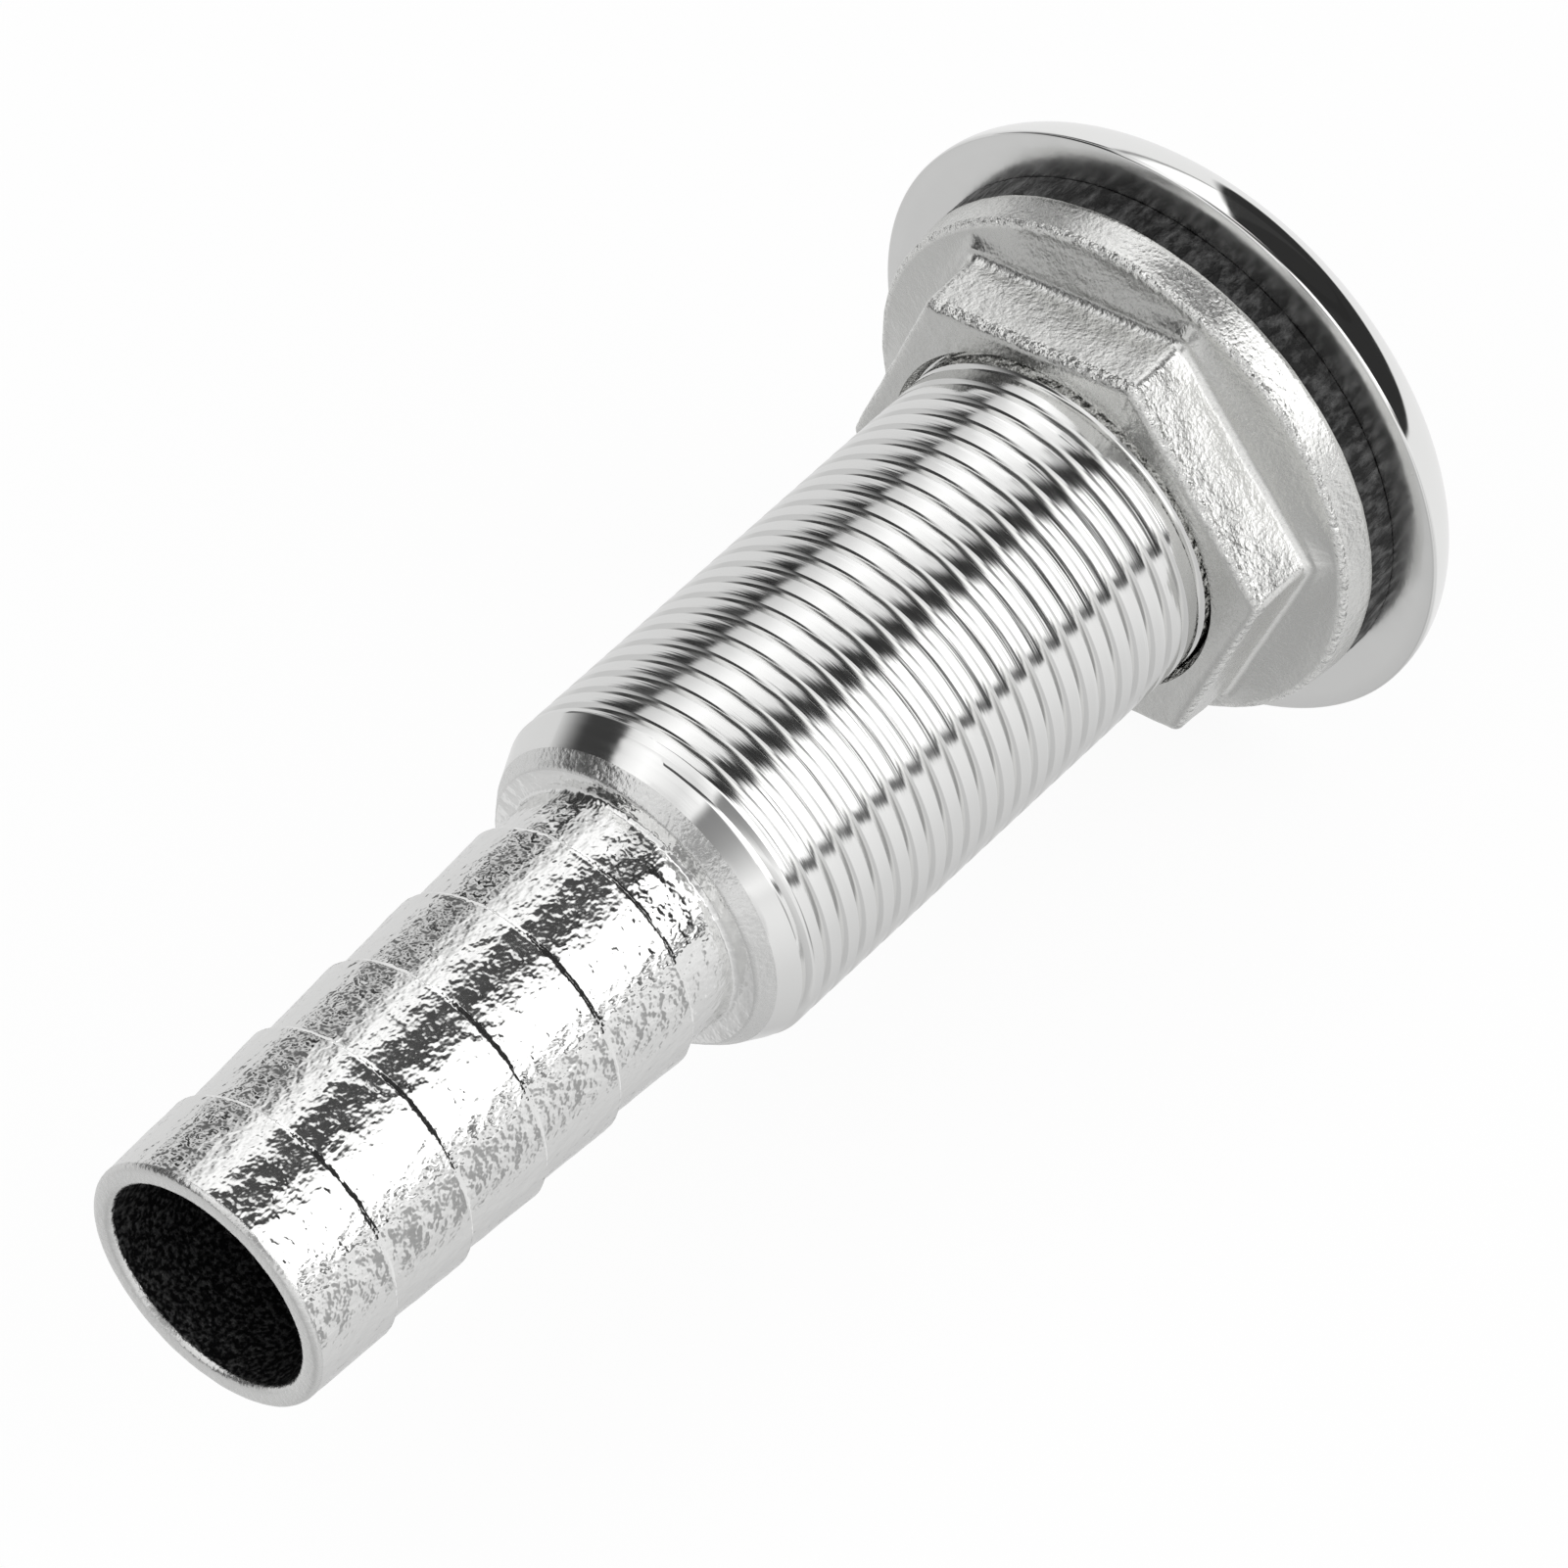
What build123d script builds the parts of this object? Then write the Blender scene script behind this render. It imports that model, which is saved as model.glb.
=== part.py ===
"""A through-hull fitting with a hose tail, in stainless steel, for a boat.

The body is one casting: a mushroom head, a threaded barrel and a barbed hose tail, with one waterway
through all three. A flanged hexagon nut runs on the barrel, and a rubber gasket lies under the head.

Millimetres. The axis of the fitting is Y. The origin is the centre of the head's flat sealing face, the
hose tail points to -Y, the dome points to +Y, and +Z is up as it sits in a vertical side of a hull.
"""

import os
from math import radians, tan

from build123d import *

# ---- driving dimensions ----

# barrel, with a right-hand parallel pipe thread
thread_diameter = 26.44
barrel_wall = 5.17
thread_pitch = 1.814
thread_depth = 0.46
groove_root_width = 0.20
flank_angle = 27.5
barrel_length = 53.2
relief_length = 2.0
relief_below_thread = 0.06

# tail end of the barrel: a turned chamfer, then the cast shoulder
chamfer_length = 2.4
chamfer_depth = 1.17
shoulder_length = 1.2
shoulder_depth = 0.85
root_fillet = 0.7

# hose tail
tail_length = 41.2
plain_tail_length = 4.7
barb_count = 5
barb_rise = 0.25
barb_step = 0.42
barb_step_length = 0.15
mouth_wall = 1.6
lip_radius = 0.5

# mushroom head
head_overhang = 3.4
head_rim_overhang = 0.15
head_rim = 0.3
head_height = 7.7
dome_flat_width = 1.6
inlet_radius = 1.4

# gasket
gasket_thickness = 2.4
gasket_inset = 0.05
gasket_hole_clearance = 0.35

# nut
flange_overhang = 4.65
flange_thickness = 2.9
flange_draft = 0.25
flange_rise = 0.8
flange_core_inset = 1.0
flange_edge_radius = 0.6
nut_height = 9.3
hexagon_wall = 2.58
hexagon_draft = 2.0
hexagon_corner_radius = 1.0
hexagon_edge_radius = 0.5
hexagon_turn = 9.4
hexagon_root_fillet = 0.6
nut_mouth_clearance = 0.75
nut_mouth_depth = 1.0

# room between the two threads
crest_clearance = 0.14
flank_clearance = 0.09

# how the threads are cut
cutter_reach = 0.3
turns_per_cut = 10

# how near an edge lies to where it is looked for
near = 0.05

# ---- sizes that follow from them ----

thread_radius = thread_diameter / 2
thread_root_radius = thread_radius - thread_depth
relief_radius = thread_root_radius - relief_below_thread
waterway_radius = thread_radius - barrel_wall

chamfer_end = -barrel_length - chamfer_length
chamfer_radius = thread_radius - chamfer_depth
shoulder = chamfer_end - shoulder_length
shoulder_radius = chamfer_radius - shoulder_depth
mouth = shoulder - tail_length
mouth_radius = waterway_radius + mouth_wall
barb_pitch = (tail_length - plain_tail_length) / barb_count
barb_crest_radius = mouth_radius + barb_rise
barb_foot_radius = barb_crest_radius - barb_step

hexagon_half_width = thread_radius + hexagon_wall
flange_back_radius = hexagon_half_width + flange_overhang
flange_front_radius = flange_back_radius - flange_draft
flange_core_radius = hexagon_half_width - flange_core_inset
gasket_radius = flange_back_radius - gasket_inset
head_radius = flange_back_radius + head_overhang
head_edge_radius = head_radius - head_rim_overhang
dome_flat_radius = waterway_radius + dome_flat_width

nut_back = -gasket_thickness
flange_front = nut_back - flange_thickness
nut_front = nut_back - nut_height
hexagon_foot = flange_front - flange_rise
nut_bore_radius = thread_radius + crest_clearance
nut_crest_radius = thread_root_radius + crest_clearance
nut_mouth_radius = nut_bore_radius + nut_mouth_clearance

nut_thread_start = nut_back - thread_pitch
nut_thread_end = nut_front + nut_mouth_depth + thread_pitch / 2
thread_start = nut_thread_start + thread_pitch
thread_end = chamfer_end - cutter_reach


def groove_half_width(radius):
    """Half the width of the barrel's groove at a radius."""
    return groove_root_width / 2 + (radius - thread_root_radius) * tan(radians(flank_angle))


def ridge_half_width(radius):
    """Half the width of the nut's ridge at a radius, which stands in the barrel's groove with play."""
    return groove_half_width(radius) - flank_clearance


def thread_sweeps(radius, start, end, *outline):
    """A right-hand helical solid from start towards -Y, with an outline of points (radius, half width).

    It comes in stretches of whole turns, end to end, because one long sweep doesn't cut cleanly. Two
    threads whose starts are a whole number of pitches apart are in step.
    """
    longest = turns_per_cut * thread_pitch
    while start > end:
        length = min(longest, start - end)
        path = Helix(thread_pitch, length, radius, (0, start, 0), (0, -1, 0), mode=Mode.PRIVATE)
        centre = path @ 0
        outward = Vector(centre.X, 0, centre.Z).normalized()
        reach = outward.dot(centre)
        upper = [(at - reach, half) for at, half in outline]
        lower = [(at - reach, -half) for at, half in reversed(outline)]
        with BuildSketch(Plane(centre, outward, path % 0), mode=Mode.PRIVATE) as face:
            with BuildLine():
                Polyline(*upper, *lower, close=True)
            make_face()
        yield sweep(face.sketch, path, is_frenet=True, mode=Mode.PRIVATE)
        start -= longest


def barb_outline():
    """The hose tail from its mouth to the shoulder: each ridge rises slowly and steps down at once."""
    points = [(mouth_radius, mouth)]
    for number in range(barb_count):
        crest = mouth + (number + 1) * barb_pitch
        points += [(barb_crest_radius, crest), (barb_foot_radius, crest + barb_step_length)]
    return points + [(barb_foot_radius, shoulder)]


# ---- the body: head, barrel and hose tail in one casting ----

with BuildPart() as fitting_body:
    with BuildSketch(Plane.XY):
        with BuildLine():
            Polyline(
                (waterway_radius, mouth),
                *barb_outline(),
                (thread_radius, shoulder),
                (thread_radius, 0),
                (head_edge_radius, 0),
            )
            Spline(
                (head_edge_radius, 0),
                (head_radius, head_rim),
                tangents=((1, 1), (0, 1)),
            )
            dome = EllipticalCenterArc(
                (dome_flat_radius, head_rim),
                head_radius - dome_flat_radius,
                head_height - head_rim,
                start_angle=0,
                arc_size=90,
            )
            Polyline(dome @ 1, (waterway_radius, head_height), (waterway_radius, mouth))
        make_face()
    revolve(axis=Axis.Y)

    rings = fitting_body.edges().filter_by(GeomType.CIRCLE)
    top = rings.filter_by(lambda ring: ring.center().Y > head_height - near)
    fillet(top.filter_by(lambda ring: ring.radius < waterway_radius + near), inlet_radius)
    fillet(fitting_body.edges().group_by(Axis.Y)[0], lip_radius)
    root = fitting_body.edges().filter_by(GeomType.CIRCLE).filter_by(
        lambda ring: abs(ring.center().Y - shoulder) < near and ring.radius < shoulder_radius
    )
    fillet(root, root_fillet)

    groove = [
        (radius, groove_half_width(radius))
        for radius in (thread_root_radius, thread_radius + cutter_reach)
    ]
    for cutter in thread_sweeps(thread_radius, thread_start, thread_end, *groove):
        add(cutter, mode=Mode.SUBTRACT)

    clear_radius = thread_radius + cutter_reach
    with BuildSketch(Plane.XY):
        with BuildLine():
            Polyline(
                (clear_radius, -barrel_length + cutter_reach * chamfer_length / chamfer_depth),
                (chamfer_radius, chamfer_end),
                (shoulder_radius, shoulder),
                (clear_radius, shoulder),
                close=True,
            )
        make_face()
        with BuildLine():
            Polyline(
                (relief_radius, 0),
                (relief_radius, -relief_length),
                (clear_radius, -relief_length - clear_radius + relief_radius),
                (clear_radius, 0),
                close=True,
            )
        make_face()
    revolve(axis=Axis.Y, mode=Mode.SUBTRACT)
fitting_body.part.label = "fitting_body"


# ---- the rubber gasket under the head ----

with BuildPart() as gasket:
    with BuildSketch(Plane.XZ):
        Circle(gasket_radius)
        Circle(thread_radius + gasket_hole_clearance, mode=Mode.SUBTRACT)
    extrude(amount=gasket_thickness)
gasket.part.label = "gasket"


# ---- the cast nut: a hexagon on a round flange ----

with BuildPart() as nut:
    with BuildSketch(Plane.XZ.offset(-nut_back)):
        RegularPolygon(hexagon_half_width, 6, major_radius=False, rotation=hexagon_turn)
    extrude(amount=nut_height, taper=hexagon_draft)
    middle = (nut_back + nut_front) / 2
    fillet(nut.edges().filter_by(lambda edge: abs(edge.center().Y - middle) < near), hexagon_corner_radius)
    fillet(nut.faces().sort_by(Axis.Y)[0].edges(), hexagon_edge_radius)

    with BuildSketch(Plane.XY):
        with BuildLine():
            Polyline(
                (0, nut_back),
                (flange_back_radius, nut_back),
                (flange_front_radius, flange_front),
                (flange_core_radius, hexagon_foot),
                (0, hexagon_foot),
                close=True,
            )
        make_face()
    revolve(axis=Axis.Y)
    fillet(
        nut.edges().filter_by(lambda edge: hexagon_foot < edge.center().Y < flange_front - near),
        hexagon_root_fillet,
    )
    rim = nut.edges().filter_by(GeomType.CIRCLE)
    fillet(rim.filter_by(lambda ring: abs(ring.radius - flange_front_radius) < near), flange_edge_radius)

    with BuildSketch(Plane.XY):
        with BuildLine():
            Polyline(
                (0, nut_back),
                (nut_bore_radius, nut_back),
                (nut_bore_radius, nut_front + nut_mouth_depth),
                (nut_mouth_radius, nut_front),
                (0, nut_front),
                close=True,
            )
        make_face()
    revolve(axis=Axis.Y, mode=Mode.SUBTRACT)
    ridge = [
        (radius, ridge_half_width(radius))
        for radius in (nut_crest_radius, nut_bore_radius + cutter_reach)
    ]
    for thread in thread_sweeps(nut_bore_radius, nut_thread_start, nut_thread_end, *ridge):
        add(thread)
nut.part.label = "nut"


os.makedirs("parts", exist_ok=True)
for piece in (fitting_body, gasket, nut):
    export_step(piece.part, f"parts/{piece.part.label}.step")
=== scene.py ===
"""Looks for the thru hull fitting: a cast stainless body, its black gasket and its cast nut.

Everything is in the frame's own metres. The waterway is the Y axis, the hose tail points to -Y and the
domed head to +Y. Sizes below are millimetres, turned to metres by MM. Angles run round the Y axis from
+X towards +Z, which is the way a right-hand thread turns as it goes towards -Y.
"""

from math import cos, radians, sin, tan, tau

import bmesh
import bpy
import numpy as np
from mathutils import Matrix, Vector, noise


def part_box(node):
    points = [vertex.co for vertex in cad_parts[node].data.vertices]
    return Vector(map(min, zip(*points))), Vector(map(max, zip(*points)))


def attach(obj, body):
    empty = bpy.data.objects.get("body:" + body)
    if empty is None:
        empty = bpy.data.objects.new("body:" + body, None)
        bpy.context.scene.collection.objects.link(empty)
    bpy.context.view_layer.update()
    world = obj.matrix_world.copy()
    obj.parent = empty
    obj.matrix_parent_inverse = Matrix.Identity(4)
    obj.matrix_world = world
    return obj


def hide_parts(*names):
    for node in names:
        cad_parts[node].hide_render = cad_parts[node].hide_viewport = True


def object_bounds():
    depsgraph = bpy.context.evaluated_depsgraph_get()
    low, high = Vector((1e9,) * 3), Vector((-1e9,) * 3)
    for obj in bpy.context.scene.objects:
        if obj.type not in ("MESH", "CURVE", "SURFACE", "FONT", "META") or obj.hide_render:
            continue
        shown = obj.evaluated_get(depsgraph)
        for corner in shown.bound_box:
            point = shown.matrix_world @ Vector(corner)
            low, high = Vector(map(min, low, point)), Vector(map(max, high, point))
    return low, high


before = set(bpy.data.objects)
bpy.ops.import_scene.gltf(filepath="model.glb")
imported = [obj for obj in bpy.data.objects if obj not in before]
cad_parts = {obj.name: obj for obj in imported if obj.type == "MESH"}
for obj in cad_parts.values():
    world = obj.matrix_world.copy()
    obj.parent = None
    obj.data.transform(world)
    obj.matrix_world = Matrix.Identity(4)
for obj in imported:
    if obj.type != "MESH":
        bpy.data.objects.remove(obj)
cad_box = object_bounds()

MM = 0.001
body_low, body_high = (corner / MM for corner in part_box("fitting_body"))
gasket_low, gasket_high = (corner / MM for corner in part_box("gasket"))
nut_low, nut_high = (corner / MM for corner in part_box("nut"))

# ---- sizes of the body ----

mouth = body_low.y
head_top = body_high.y
head_radius = body_high.x
thread_radius = 13.22
thread_pitch = 1.814
thread_depth = 0.46
groove_root_half = 0.10
ridge_play = 0.06
flank_angle = radians(27.5)
land_crown = 0.009
land_bevel = 0.02
barrel_end = -53.2
chamfer_end, chamfer_radius = -55.6, 12.05
shoulder, shoulder_radius = -56.8, 11.20
shoulder_edge = 0.15
runout_length = 1.0
waterway_radius = 8.05
mouth_radius = 9.65
lip_radius = 0.5
barb_count = 5
barb_pitch = 7.3
barb_crest_radius = 9.90
barb_foot_radius = 9.48
barb_ease = 0.5
barb_edge = ((-0.25, -0.02), (-0.08, 0.0), (0.04, -0.05))
barb_toe = ((0.14, 0.08), (0.26, 0.0))
root_fillet = 0.45
relief_length = 2.0
relief_radius = 12.70
head_rim = 0.3
head_rim_edge = 0.15
head_edge_radius = head_radius - head_rim_edge
dome_flat_radius = waterway_radius + 1.6
inlet_radius = 1.4

# ---- sizes of the nut and the gasket ----

nut_back, nut_front = nut_high.y, nut_low.y
thread_phase = nut_back - thread_pitch * 1.25
flange_back_radius = gasket_high.x + 0.05
flange_front = nut_back - 2.9
flange_front_radius = flange_back_radius - 0.25
flange_edge_radius = 0.45
flange_rise = 0.8
hexagon_half = 15.8
hexagon_draft = radians(2.0)
hexagon_turn = 9.4
hexagon_corner_radius = 0.9
hexagon_edge_radius = 0.75
hexagon_root_fillet = 0.7
nut_bore_radius = thread_radius + 0.14
nut_mouth_radius = nut_bore_radius + 0.45
nut_mouth_depth = 1.0
gasket_radius = gasket_high.x
gasket_hole_radius = thread_radius + 0.35
gasket_edge = 0.12

# ---- height of the cast unevenness on each surface ----

lip_lump = 0.02
tail_lump = 0.035
root_lump = 0.05
shoulder_lump = 0.03
bore_lump = 0.03
nut_lump = 0.05
flange_lump = 0.04
nut_mouth_lump = 0.02
gasket_lump = 0.06

# ---- the order of each piece's materials ----

CAST, SATIN, TURNED, FACED, POLISHED, BORE = range(6)
BLASTED, THREADED = range(2)

# ---- building surfaces ----

ROUND = np.linspace(0, tau, 181)


def arc(centre, radius, start, end, steps, height=None):
    """Points (radius, y) on a circle, or on an ellipse with its own height, between angles in degrees."""
    angles = np.radians(np.linspace(start, end, steps + 1))
    return [(centre[0] + radius * cos(a), centre[1] + (height or radius) * sin(a)) for a in angles]


def line(start, end, steps):
    """Points (radius, y) from start to end, both included."""
    return list(zip(np.linspace(start[0], end[0], steps + 1), np.linspace(start[1], end[1], steps + 1)))


def rings(points, angles):
    """A turned surface: each point's radius and y, the same all the way round."""
    return np.repeat(np.array(points)[:, None, :], len(angles), axis=1)


def build(name, strips, angles):
    """A closed piece from strips of (radius, y) grids, end to end and back to the first.

    Each strip is (grid, material, lump), where lump is the height in millimetres of its cast unevenness.
    """
    grid = np.concatenate([strip[0] for strip in strips])
    slots = np.concatenate([np.full(len(strip[0]), strip[1]) for strip in strips])
    lumps = np.concatenate([np.full(len(strip[0]), strip[2]) for strip in strips])
    radius, y = grid[..., 0] * MM, grid[..., 1] * MM
    points = np.stack([radius * np.cos(angles), y, radius * np.sin(angles)], axis=-1)
    index = np.arange(grid[..., 0].size).reshape(grid.shape[:2])
    after = np.roll(index, -1, axis=0)
    faces = np.stack([index[:, :-1], index[:, 1:], after[:, 1:], after[:, :-1]], axis=-1)
    mesh = bpy.data.meshes.new(name)
    mesh.from_pydata(points.reshape(-1, 3).tolist(), [], faces.reshape(-1, 4).tolist())
    mesh.polygons.foreach_set("material_index", np.repeat(slots, len(angles) - 1).astype(np.int32))
    height = mesh.attributes.new("lump", "FLOAT", "POINT")
    height.data.foreach_set("value", np.repeat(lumps, len(angles)).astype(np.float32))
    weld(mesh)
    mesh.shade_smooth()
    piece = bpy.data.objects.new(name, mesh)
    bpy.context.scene.collection.objects.link(piece)
    return piece


def weld(mesh):
    """Joins the seam and the points that fall together, and drops faces with no area."""
    work = bmesh.new()
    work.from_mesh(mesh)
    bmesh.ops.remove_doubles(work, verts=work.verts, dist=0.0005 * MM)
    bmesh.ops.dissolve_degenerate(work, edges=work.edges, dist=0.0005 * MM)
    bmesh.ops.recalc_face_normals(work, faces=work.faces)
    work.to_mesh(mesh)
    work.free()


def roughen(piece, coarse, fine):
    """Moves each point along its normal by its lump's height: noise with two grain sizes in millimetres."""
    mesh = piece.data
    count = len(mesh.vertices)
    points, normals, lumps = np.empty(count * 3), np.empty(count * 3), np.empty(count)
    mesh.vertices.foreach_get("co", points)
    mesh.vertex_normals.foreach_get("vector", normals)
    mesh.attributes["lump"].data.foreach_get("value", lumps)
    points, normals = points.reshape(-1, 3), normals.reshape(-1, 3)
    for i in np.nonzero(lumps)[0]:
        at = Vector(points[i]) / MM
        height = noise.noise(at / coarse) + 0.6 * noise.noise(at / fine)
        points[i] += normals[i] * height * lumps[i] * MM
    mesh.vertices.foreach_set("co", points.reshape(-1))
    mesh.attributes.remove(mesh.attributes["lump"])
    mesh.set_sharp_from_angle(angle=radians(35))


def thread_outline(crest, root, crest_half, root_half, crown):
    """One turn of thread as (distance along, radius), from its root's middle to the next one's.

    The land between two grooves is crowned a little, as a worn tool leaves it, and its edges are eased.
    """
    inward = 1 if crest > root else -1
    land_half = thread_pitch / 2 - crest_half - land_bevel
    side = [(root_half, root), (crest_half, crest - inward * land_bevel - crown)]
    land = [
        (thread_pitch / 2 + share * land_half, crest - crown * share**2)
        for share in (-1, -0.5, 0, 0.5, 1)
    ]
    return side + land + [(thread_pitch - along, radius) for along, radius in reversed(side)]


def thread_rows(outline, start, end, angles, limit=None):
    """A helical grid of rows from start down to end, cut off square at both, under a limit on its radius."""
    along, radii = np.array(outline).T
    first = int((thread_phase - start) / thread_pitch) - 3
    last = int((thread_phase - end) / thread_pitch) + 3
    offsets = (np.arange(first, last)[:, None] * thread_pitch + along).reshape(-1, 1)
    y = np.clip(thread_phase - thread_pitch * angles / tau - offsets, end, start)
    phase = (thread_phase - thread_pitch * angles / tau - y) % thread_pitch
    radius = np.interp(phase, along, radii, period=thread_pitch)
    if limit:
        radius = np.minimum(radius, limit(y))
    used = (y.max(axis=1) > end) & (y.min(axis=1) < start)
    keep = used | np.roll(used, 1) | np.roll(used, -1)
    return np.stack([radius, y], axis=-1)[keep]


# ---- the body ----


def chamfer_limit(y):
    """The chamfer's radius at y."""
    slope = (thread_radius - chamfer_radius) / (barrel_end - chamfer_end)
    return chamfer_radius + (y - chamfer_end) * slope


def barb_points():
    """The hose tail from the mouth's outer lip to the root of the shoulder.

    barb_edge and barb_toe are points (along, outward), from a ridge's crest and from the foot beyond it.
    """
    points = []
    start, radius = mouth + lip_radius, mouth_radius
    for number in range(barb_count):
        crest = mouth + (number + 1) * barb_pitch
        edge = [(barb_crest_radius + outward, crest + along) for along, outward in barb_edge]
        toe = [(barb_foot_radius + outward, crest + along) for along, outward in barb_toe]
        points += line((radius, start), edge[0], 13) + edge[1:] + toe
        start, radius = crest + barb_ease, barb_foot_radius
    return points + line((radius, start), (radius, shoulder - root_fillet), 12)


def make_body():
    """The one-piece casting: tail, barrel, head and waterway."""
    lip = arc((waterway_radius + lip_radius, mouth + lip_radius), lip_radius, 180, 270, 4)
    lip += arc((mouth_radius - lip_radius, mouth + lip_radius), lip_radius, 270, 350, 5)
    fillet = arc((barb_foot_radius + root_fillet, shoulder - root_fillet), root_fillet, 180, 90, 6)
    ledge = [(shoulder_radius - shoulder_edge, shoulder), (shoulder_radius + 0.05, shoulder + 0.12)]
    ledge_start = (shoulder_radius + shoulder_edge, shoulder + 0.26)
    ledge += line(ledge_start, (chamfer_radius - 0.02, chamfer_end - 0.03), 6)
    groove_end = barrel_end - runout_length
    chamfer = line((chamfer_radius, chamfer_end), (chamfer_limit(groove_end), groove_end), 4)
    crest_half = groove_root_half + thread_depth * tan(flank_angle)
    root = thread_radius - thread_depth
    outline = thread_outline(thread_radius, root, crest_half, groove_root_half, land_crown)
    runout = thread_rows(outline, barrel_end, groove_end, ROUND, chamfer_limit)
    barrel = thread_rows(outline, -relief_length, barrel_end, ROUND)
    relief = [(relief_radius, -relief_length), (relief_radius, -relief_length / 2), (relief_radius, 0)]
    back = line((relief_radius, 0), (head_edge_radius - 0.02, 0), 10)
    rim = arc((head_edge_radius, head_rim_edge), head_rim_edge, 300, 350, 4) + [(head_radius, head_rim)]
    dome = arc(
        (dome_flat_radius, head_rim), head_radius - dome_flat_radius, 3, 90, 34, head_top - head_rim
    )
    inlet = arc((waterway_radius + inlet_radius, head_top - inlet_radius), inlet_radius, 90, 180, 10)
    bore = line(
        (waterway_radius, head_top - inlet_radius - 1), (waterway_radius, mouth + lip_radius + 0.4), 24
    )
    strips = [
        (rings(lip, ROUND), SATIN, lip_lump),
        (rings(barb_points(), ROUND), CAST, tail_lump),
        (rings(fillet, ROUND), CAST, root_lump),
        (rings(ledge, ROUND), SATIN, shoulder_lump),
        (rings(chamfer, ROUND), TURNED, 0.0),
        (runout[::-1], TURNED, 0.0),
        (barrel[::-1], TURNED, 0.0),
        (rings(relief, ROUND), TURNED, 0.0),
        (rings(back, ROUND), FACED, 0.0),
        (rings(rim + dome + inlet, ROUND), POLISHED, 0.0),
        (rings(bore, ROUND), BORE, bore_lump),
    ]
    piece = build("fitting_body_cast", strips, ROUND)
    roughen(piece, 1.6, 0.7)
    finish(piece, "fitting", "fitting_body", (
        cast_stainless(), satin_stainless(), turned_stainless(), faced_stainless(), polished_stainless(),
        cast_bore(),
    ))


# ---- the nut ----


def hexagon_angles():
    """Columns round the nut in radians, close together at each corner, from one corner round to itself."""
    half = [0, 0.4, 0.8, 1.2, 1.6, 2.0, 2.5, 3.1, 3.9, 5, 6.4, 8.2, 10.4, 13, 16, 19.4, 23, 26.6]
    sector = half + [30] + [60 - offset for offset in reversed(half[1:])]
    degrees = [hexagon_turn + 60 * number + offset for number in range(6) for offset in sector]
    return np.radians(np.array(degrees + [hexagon_turn + 360]))


def hexagon_radius(angles, half):
    """The rounded hexagon's radius, round the axis, for half its width across the flats."""
    off_corner = (np.degrees(angles) - hexagon_turn + 30) % 60 - 30
    flat = half / np.cos(np.radians(30 - np.abs(off_corner)))
    centre = (half - hexagon_corner_radius) / cos(radians(30))
    across = centre * np.sin(np.radians(off_corner))
    rounded = centre * np.cos(np.radians(off_corner))
    rounded = rounded + np.sqrt(np.maximum(hexagon_corner_radius**2 - across**2, 0))
    tangent_across = hexagon_corner_radius * sin(radians(30))
    tangent = np.degrees(np.arctan2(tangent_across, centre + hexagon_corner_radius * cos(radians(30))))
    return np.where(np.abs(off_corner) < tangent, rounded, flat)


def make_nut():
    """The cast nut: a hexagon that rises out of a round, dished flange, threaded inside."""
    angles = hexagon_angles()

    def side(y):
        return hexagon_radius(angles, hexagon_half - (nut_back - y) * tan(hexagon_draft))

    def level(y):
        return np.full_like(angles, y)

    rows = []
    edge = hexagon_edge_radius
    outer = side(nut_front) - edge
    for share in np.linspace(0, 1, 9):
        rows.append((nut_mouth_radius + (outer - nut_mouth_radius) * share, level(nut_front)))
    for turn in np.radians(np.linspace(15, 90, 6)):
        y = nut_front + edge * (1 - cos(turn))
        rows.append((side(y) - edge * (1 - sin(turn)), level(y)))
    top = flange_front - flange_rise - hexagon_root_fillet
    for y in np.linspace(nut_front + edge, top, 13)[1:]:
        rows.append((side(y), level(y)))
    for turn in np.radians(np.linspace(15, 90, 6)):
        y = top + hexagon_root_fillet * sin(turn)
        rows.append((side(y) + hexagon_root_fillet * (1 - cos(turn)), level(y)))
    inner = rows[-1][0]
    rim = flange_front_radius - flange_edge_radius
    for share in np.linspace(0.1, 1, 10):
        y = flange_front - flange_rise * (1 - share) ** 1.5
        rows.append((inner + (rim - inner) * share, level(y)))
    front = np.array([np.stack(row, axis=-1) for row in rows])

    edge_turn = arc((rim, flange_front + flange_edge_radius), flange_edge_radius, 280, 357, 6)
    wall = line((flange_front_radius + 0.02, flange_front + 0.75), (flange_back_radius, nut_back - 0.12), 7)
    wall += [(flange_back_radius - 0.04, nut_back - 0.03), (flange_back_radius - 0.15, nut_back)]
    wall += line((flange_back_radius - 1, nut_back), (nut_bore_radius, nut_back), 5)
    crest_half = groove_root_half + thread_depth * tan(flank_angle) - ridge_play
    crest, root = nut_bore_radius, nut_bore_radius - thread_depth
    outline = thread_outline(crest, root, crest_half, groove_root_half - ridge_play, 0)
    threads = thread_rows(outline, nut_back, nut_front + nut_mouth_depth, angles)
    mouth_cone = line((nut_bore_radius, nut_front + nut_mouth_depth), (nut_mouth_radius, nut_front), 4)
    strips = [
        (front, BLASTED, nut_lump),
        (rings(edge_turn + wall, angles), BLASTED, flange_lump),
        (threads, THREADED, 0.0),
        (rings(mouth_cone, angles), BLASTED, nut_mouth_lump),
    ]
    piece = build("nut_cast", strips, angles)
    roughen(piece, 1.9, 0.6)
    finish(piece, "nut", "nut", (blasted_stainless(), turned_stainless()))


# ---- the gasket ----


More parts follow.
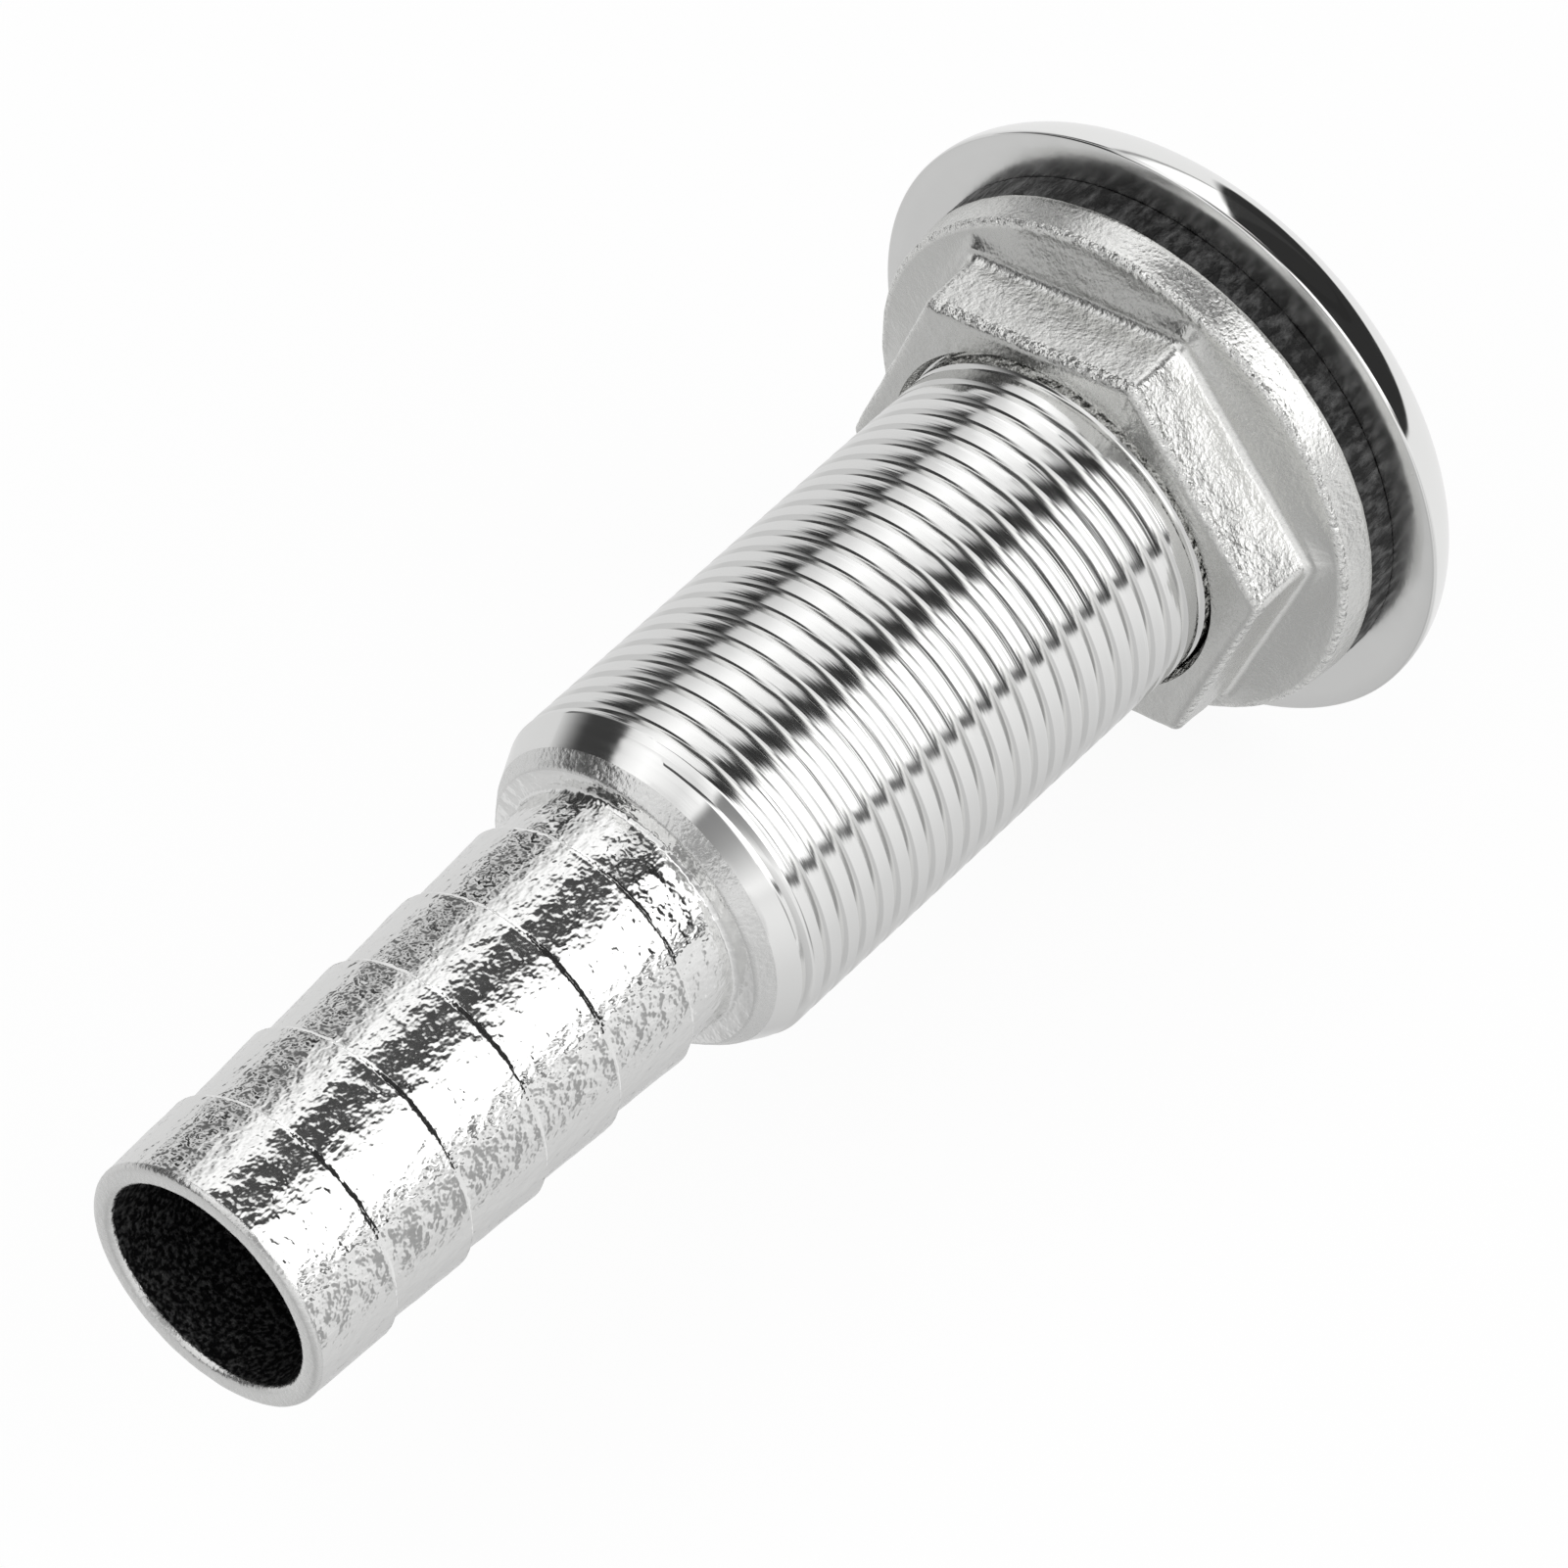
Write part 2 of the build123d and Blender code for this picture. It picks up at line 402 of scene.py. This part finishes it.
def make_gasket():
    """A ring die cut from sheet rubber, with square edges that are a little torn."""
    low, high = gasket_low.y, gasket_high.y
    outer, inner = gasket_radius, gasket_hole_radius
    inset = outer - gasket_edge
    points = line((inner, low + 0.02), (inset, low + 0.02), 10) + [(outer - 0.03, low + 0.05)]
    points += line((outer, low + 0.14), (outer, high - 0.14), 10) + [(outer - 0.03, high - 0.05)]
    points += line((inset, high - 0.02), (inner, high - 0.02), 10)
    angles = np.linspace(0, tau, 361)
    piece = build("gasket_ring", [(rings(points, angles), 0, gasket_lump)], angles)
    roughen(piece, 1.2, 0.4)
    finish(piece, "gasket", "gasket", (gasket_rubber(),))


def finish(piece, body, cad_node, materials):
    """Gives a piece its materials and the body it rides on, and hides the CAD node it stands for."""
    for made in materials:
        piece.data.materials.append(made)
    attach(piece, body)
    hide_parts(cad_node)


# ---- materials ----


def linear(hex_colour):
    """An sRGB hex colour as linear red, green, blue and alpha."""
    values = [int(hex_colour[i : i + 2], 16) / 255 for i in (1, 3, 5)]
    return [v / 12.92 if v <= 0.04045 else ((v + 0.055) / 1.055) ** 2.4 for v in values] + [1.0]


def node(tree, kind, inputs=None, **settings):
    """Adds a node, sets its settings, and gives each input a value, or links it to an output or a node."""
    new = tree.nodes.new(kind)
    for name, value in settings.items():
        setattr(new, name, value)
    for name, value in (inputs or {}).items():
        if isinstance(value, bpy.types.Node):
            value = value.outputs[0]
        if isinstance(value, bpy.types.NodeSocket):
            tree.links.new(value, new.inputs[name])
        else:
            new.inputs[name].default_value = value
    return new


def material(name, shader_inputs, build_nodes):
    """A Principled material; build_nodes takes the tree and its place in metres, and gives linked inputs."""
    made = bpy.data.materials.new(name)
    made.use_nodes = True
    tree = made.node_tree
    tree.nodes.clear()
    place = node(tree, "ShaderNodeTexCoord").outputs["Object"]
    shader = node(tree, "ShaderNodeBsdfPrincipled", {**shader_inputs, **build_nodes(tree, place)})
    node(tree, "ShaderNodeOutputMaterial", {"Surface": shader})
    return made


def grain(tree, place, size, detail=2.0, stretch=(1, 1, 1), roughness=0.5):
    """Noise whose grains are about size millimetres across, drawn out by stretch along X, Y and Z."""
    scale = [1 / (size * MM * share) for share in stretch]
    moved = node(tree, "ShaderNodeMapping", {"Vector": place, "Scale": scale})
    return node(
        tree, "ShaderNodeTexNoise",
        {"Vector": moved, "Scale": 1.0, "Detail": detail, "Roughness": roughness},
    ).outputs["Fac"]


def spread(tree, value, low, high, from_low=0.3, from_high=0.7):
    """Noise brought to run from low to high."""
    return node(tree, "ShaderNodeMapRange", {
        "Value": value, "From Min": from_low, "From Max": from_high, "To Min": low, "To Max": high,
    })


def bump(tree, height, depth, normal=None):
    """Relief of about depth millimetres, over an earlier relief if one is given."""
    inputs = {"Height": height, "Distance": depth * MM, "Strength": 1.0}
    if normal:
        inputs["Normal"] = normal
    return node(tree, "ShaderNodeBump", inputs)


def cast_stainless():
    """Cast 316 stainless, tumbled and electropolished: mirror bright, but as wrinkled as its mould.

    The wrinkles break every reflection into specks, and the polish never reaches their hollows.
    """

    def nodes(tree, place):
        wrinkles = grain(tree, place, 0.95, 2.0, (1, 1.3, 1), 0.55)
        return {"Normal": bump(tree, wrinkles, 0.15), "Roughness": spread(tree, wrinkles, 0.15, 0.07)}

    return material("cast_stainless", {"Base Color": linear("#F3F3F2"), "Metallic": 1.0}, nodes)


def satin_stainless():
    """The same casting where a linisher has dressed it: the mouth's lip and the shoulder, fine and satin."""

    def nodes(tree, place):
        grains = grain(tree, place, 0.35, 2.5)
        return {"Normal": bump(tree, grains, 0.06), "Roughness": spread(tree, grains, 0.22, 0.32)}

    return material("satin_stainless", {"Base Color": linear("#E8E8E7"), "Metallic": 1.0}, nodes)


def turned_stainless():
    """Stainless turned on a lathe: bright, with the tool's fine lines round it.

    The real lines are about 0.08 mm apart. They are drawn 0.2 mm apart, or a picture couldn't show them.
    """

    def nodes(tree, place):
        lines = grain(tree, place, 0.20, 1.5, (45, 1, 45))
        marks = grain(tree, place, 0.60, 2.0, (9, 1, 9))
        relief = bump(tree, marks, 0.003, bump(tree, lines, 0.0055))
        return {"Normal": relief, "Roughness": spread(tree, marks, 0.07, 0.14)}

    return material("turned_stainless", {"Base Color": linear("#F3F3F2"), "Metallic": 1.0}, nodes)


def faced_stainless():
    """The head's back, faced on the lathe and buffed by hand: bright, but it blurs what it mirrors."""

    def nodes(tree, place):
        cloud = grain(tree, place, 2.5, 3.0)
        fine = grain(tree, place, 0.30, 2.0, (1, 1, 3))
        relief = bump(tree, fine, 0.004, bump(tree, cloud, 0.02))
        return {"Normal": relief, "Roughness": spread(tree, cloud, 0.16, 0.26)}

    return material("faced_stainless", {"Base Color": linear("#EDEDEC"), "Metallic": 1.0}, nodes)


def polished_stainless():
    """Stainless buffed to a mirror: a slow waviness from the wheel and a faint haze."""

    def nodes(tree, place):
        waves = grain(tree, place, 5.0, 1.0)
        haze = grain(tree, place, 1.2, 3.0)
        return {"Normal": bump(tree, waves, 0.008), "Roughness": spread(tree, haze, 0.04, 0.10)}

    return material("polished_stainless", {"Base Color": linear("#F3F3F2"), "Metallic": 1.0}, nodes)


def cast_bore():
    """Stainless as it left the mould, where no tool reaches: coloured dark, with many bright grains."""

    def nodes(tree, place):
        grains = grain(tree, place, 0.34, 2.5)
        bright = spread(tree, grains, 0, 1, 0.46, 0.72)
        colour = node(tree, "ShaderNodeMixRGB", {
            "Fac": bright, "Color1": linear("#2A2A2B"), "Color2": linear("#969696"),
        })
        return {"Base Color": colour, "Normal": bump(tree, grains, 0.08)}

    return material("cast_bore", {"Metallic": 0.85, "Roughness": 0.42}, nodes)


def blasted_stainless():
    """Cast 316 stainless, bead blasted: an even frosted grain that scatters light.

    The mould left the hexagon's front edge and the flange's edge ragged, and blasting only softened them.
    The hexagon's front face, turned away from the light, and the flange's dished face in the recess round the
    hexagon's root are painted darker than the flats and the rim: painted shade.
    """

    def nodes(tree, place):
        parts = node(tree, "ShaderNodeSeparateXYZ", {"Vector": place})
        flat = node(tree, "ShaderNodeCombineXYZ", {"X": parts.outputs["X"], "Y": parts.outputs["Z"]})
        radius = node(tree, "ShaderNodeVectorMath", {0: flat}, operation="LENGTH").outputs["Value"]

        def near_level(level, half):
            away = node(tree, "ShaderNodeMath", {0: parts.outputs["Y"], 1: level * MM}, operation="SUBTRACT")
            away = node(tree, "ShaderNodeMath", {0: away}, operation="ABSOLUTE")
            return spread(tree, away, 1, 0, half * MM, (half + 0.15) * MM)

        rim = spread(tree, radius, 0, 1, (flange_front_radius - 0.6) * MM, (flange_front_radius - 0.3) * MM)
        flange_edge = node(
            tree, "ShaderNodeMath", {0: near_level(flange_front + 0.1, 0.35), 1: rim}, operation="MULTIPLY",
        )
        ragged = node(
            tree, "ShaderNodeMath", {0: flange_edge, 1: near_level(nut_front + 0.50, 0.30)},
            operation="MAXIMUM",
        )
        grains = grain(tree, place, 0.55, 2.0, (1, 1, 1), 0.5)
        beads = grain(tree, place, 0.24, 1.0)
        burrs = grain(tree, place, 0.60, 2.0)
        relief = bump(tree, beads, 0.025, bump(tree, grains, 0.05))
        relief = node(tree, "ShaderNodeBump", {
            "Height": burrs, "Distance": 0.50 * MM, "Strength": ragged, "Normal": relief,
        })
        # Painted shade: the mask below picks the flange's dished face in the recess round the hexagon's root,
        # and the front face, and gives them the darker colour.
        inside = node(tree, "ShaderNodeMath", {0: 1.0, 1: rim}, operation="SUBTRACT")
        dish_shade = node(
            tree, "ShaderNodeMath", {0: near_level(flange_front - 0.35, 0.5), 1: inside},
            operation="MULTIPLY",
        )
        painted_shade = node(tree, "ShaderNodeMath", {0: dish_shade, 1: near_level(nut_front, 0.1)}, operation="MAXIMUM")
        colour = node(tree, "ShaderNodeMixRGB", {
            "Fac": painted_shade, "Color1": linear("#F0F0EE"), "Color2": linear("#D6D6D4"),
        })
        return {
            "Base Color": colour, "Normal": relief, "Roughness": spread(tree, beads, 0.20, 0.32),
        }

    return material("blasted_stainless", {"Metallic": 1.0}, nodes)


def gasket_rubber():
    """Black sheet rubber cut with a die: satin, with the slanting drag lines of the cut on its edge."""

    def nodes(tree, place):
        drag = grain(tree, place, 0.85, 4.0, (1, 2.2, 1), 0.65)
        # Painted light: the drag lines' ridges are painted pale, a painted highlight, and their hollows near
        # black, painted shade.
        colour = node(tree, "ShaderNodeMixRGB", {
            "Fac": spread(tree, drag, 0, 1, 0.46, 0.70),
            "Color1": linear("#060606"), "Color2": linear("#666666"),
        })
        return {
            "Base Color": colour, "Normal": bump(tree, drag, 0.9), "Roughness": spread(tree, drag, 0.55, 0.3),
        }

    return material("gasket_rubber", {}, nodes)


# ---- studio ----


def make_world():
    """A white studio. Dark cards and gaps between the lights draw the metal's dark lines.

    A direction is given by its angle round the waterway's axis, in degrees from +X through +Z, and by its
    share along +Y, from -1 to 1. The camera itself sees plain white.
    """
    world = bpy.data.worlds.new("studio")
    bpy.context.scene.world = world
    world.use_nodes = True
    tree = world.node_tree
    tree.nodes.clear()

    def calculate(operation, *values):
        return node(tree, "ShaderNodeMath", dict(enumerate(values)), operation=operation)

    def step(value, low, high, start=0.0, end=1.0):
        return node(tree, "ShaderNodeMapRange", {
            "Value": value, "From Min": low, "From Max": high, "To Min": start, "To Max": end,
        }, interpolation_type="SMOOTHSTEP")

    def between(value, low, soft_low, high, soft_high):
        """One from low to high, fading to nought over the two soft widths outside."""
        rising = step(value, low - soft_low, low)
        return calculate("MULTIPLY", rising, step(value, high, high + soft_high, 1.0, 0.0))

    direction = node(tree, "ShaderNodeTexCoord").outputs["Generated"]
    parts = node(tree, "ShaderNodeSeparateXYZ", {"Vector": direction})
    share = parts.outputs["Y"]
    turn = calculate("ARCTAN2", parts.outputs["Z"], parts.outputs["X"])
    angle = calculate("DEGREES", turn)

    def slanted(centre, slope, at, half, soft):
        """One inside a strip that crosses the angles as it goes along Y, and nought outside it."""
        middle = calculate("MULTIPLY_ADD", calculate("SUBTRACT", at, share), slope, centre)
        away = calculate("ABSOLUTE", calculate("SUBTRACT", angle, middle))
        return step(away, half, half + soft, 1.0, 0.0)

    stops = [
        (-180, 0.72), (-141, 0.72), (-125, 0.78), (-93, 0.58), (-60, 0.67), (-40, 0.72), (-20, 0.82),
        (-6, 0.88), (9, 1.00), (18, 1.45), (52, 1.60), (66, 1.25), (88, 0.88), (99, 0.98), (115, 1.15),
        (124, 1.00), (132, 0.80), (142, 0.62), (160, 0.68), (180, 0.72),
    ]
    brightest = max(level for _, level in stops)
    along = node(tree, "ShaderNodeMapRange", {"Value": angle, "From Min": -180, "From Max": 180})
    lights = node(tree, "ShaderNodeValToRGB", {"Fac": along})
    while len(lights.color_ramp.elements) < len(stops):
        lights.color_ramp.elements.new(0.5)
    for element, (degrees, level) in zip(lights.color_ramp.elements, stops):
        element.position = (degrees + 180) / 360
        element.color = (*[level / brightest] * 3, 1)
    around = calculate("MULTIPLY", lights.outputs["Color"], brightest)
    beyond = calculate("MULTIPLY_ADD", between(angle, 100, 6, 133, 4), 0.35, 0.86)
    level = node(tree, "ShaderNodeMix", {
        "Factor": step(share, 0.55, 0.61), "A": around, "B": beyond,
    }, data_type="FLOAT")

    high_x = calculate("DIVIDE", parts.outputs["X"], share)
    high_z = calculate("DIVIDE", parts.outputs["Z"], share)
    past_one_edge = calculate("SUBTRACT", high_z, calculate("MULTIPLY_ADD", high_x, 0.145, -0.23))
    past_other_edge = calculate("SUBTRACT", high_x, calculate("MULTIPLY_ADD", high_z, 0.17, -0.36))
    nearest = calculate("SMOOTH_MIN", past_one_edge, past_other_edge, 0.25)
    lower_here = calculate("MULTIPLY_ADD", step(angle, 62, 72, 1.0, 0.0), 0.045, share)
    end_card = calculate("MULTIPLY", step(nearest, -0.02, 0.03), step(lower_here, 0.575, 0.61))
    streak = calculate("MULTIPLY", slanted(143, 26, 0.63, 1.5, 3), between(share, 0.61, 0.03, 0.90, 0.03))
    middle_gap = calculate("MULTIPLY", slanted(75, 90, 0.512, 6, 11), step(share, 0.44, 0.46))
    tail_gap = calculate("MULTIPLY", slanted(86, 60, 0.42, 12, 12), between(share, 0.14, 0.06, 0.45, 0.02))
    tail_card = calculate("MULTIPLY", slanted(158, 60, 0.42, 24, 14), between(share, 0.14, 0.06, 0.33, 0.07))
    tail_haze = calculate("MULTIPLY", slanted(-25, 60, 0.42, 12, 18), between(share, 0.14, 0.1, 0.34, 0.08))
    thin_gap = calculate("MULTIPLY", slanted(6, 60, 0.512, 1.5, 5), between(share, 0.40, 0.1, 0.56, 0.02))
    card_edge = calculate("MINIMUM", calculate("MULTIPLY_ADD", share, -311, 325), 184)
    side_card = calculate("MULTIPLY", step(angle, 141, 147), step(
        calculate("SUBTRACT", angle, card_edge), -9, 4, 1.0, 0.0,
    ))
    side_card = calculate("MULTIPLY", side_card, step(share, 0.425, 0.45))
    low_gap = calculate("MULTIPLY", between(angle, 56, 66, 68, 8), step(share, -0.12, 0.10, 1.0, 0.0))
    low_card = calculate("MULTIPLY", between(angle, 137, 5, 158, 28), step(share, 0.15, 0.35, 1.0, 0.0))

    front_gap = step(share, -0.42, -0.28, 1.0, 0.0)
    dark = calculate("MULTIPLY", thin_gap, 0.85)
    for gap, depth in (
        (end_card, 0.965), (streak, 0.6), (middle_gap, 0.97), (tail_gap, 0.93), (side_card, 0.965),
        (tail_card, 0.80), (tail_haze, 0.55), (low_gap, 0.8), (low_card, 0.93), (front_gap, 0.15),
    ):
        dark = calculate("MAXIMUM", dark, calculate("MULTIPLY", gap, depth))
    strength = calculate("MULTIPLY", level.outputs["Result"], calculate("SUBTRACT", 1.0, dark))
    studio = node(tree, "ShaderNodeBackground", {"Strength": strength})
    studio.inputs["Color"].default_value = linear("#FFFFFF")
    plain = node(tree, "ShaderNodeBackground", {"Color": linear("#FFFFFF"), "Strength": 1.0})
    camera_ray = node(tree, "ShaderNodeLightPath").outputs["Is Camera Ray"]
    mixed = node(tree, "ShaderNodeMixShader", {0: camera_ray, 1: studio, 2: plain})
    node(tree, "ShaderNodeOutputWorld", {"Surface": mixed})


def make_floor():
    """A plain pale floor just under the fitting, which the metal doesn't mirror."""
    reach, gap = 4.0, 0.0005
    height = cad_box[0][2] - gap
    corners = [(x * reach, y * reach, height) for x, y in ((-1, -1), (1, -1), (1, 1), (-1, 1))]
    mesh = bpy.data.meshes.new("floor")
    mesh.from_pydata(corners, [], [(0, 1, 2, 3)])
    floor = bpy.data.objects.new("floor", mesh)
    bpy.context.scene.collection.objects.link(floor)
    floor.visible_glossy = False
    mesh.materials.append(lit_paper())


def lit_paper():
    """White paper lit from behind, so that only a faint shadow falls on it."""
    made = bpy.data.materials.new("lit_paper")
    made.use_nodes = True
    tree = made.node_tree
    tree.nodes.clear()
    glow = node(tree, "ShaderNodeEmission", {"Color": linear("#FFFFFF"), "Strength": 1.03})
    paper = node(tree, "ShaderNodeBsdfDiffuse", {"Color": linear("#FFFFFF")})
    mixed = node(tree, "ShaderNodeMixShader", {0: 0.10, 1: glow, 2: paper})
    node(tree, "ShaderNodeOutputMaterial", {"Surface": mixed})
    return made


def make_camera():
    """A long lens, from above the tail end and its +X side."""
    azimuth, elevation, roll = radians(39.398), radians(48.531), radians(0.106)
    target = Vector((-7.984, -30.557, -16.390)) * MM
    distance = 608.37 * MM
    towards = Vector((sin(azimuth) * cos(elevation), -cos(azimuth) * cos(elevation), sin(elevation)))
    data = bpy.data.cameras.new("camera")
    data.lens = 202.72
    data.sensor_width = 36.0
    data.clip_start = 0.01
    camera = bpy.data.objects.new("camera", data)
    bpy.context.scene.collection.objects.link(camera)
    turn = towards.to_track_quat("Z", "Y").to_matrix().to_4x4()
    turn = turn @ Matrix.Rotation(roll, 4, "Z")
    camera.matrix_world = Matrix.Translation(target + towards * distance) @ turn
    bpy.context.scene.camera = camera


make_world()
make_floor()
make_camera()
bpy.context.scene.view_settings.view_transform = "Standard"
make_body()
make_nut()
make_gasket()
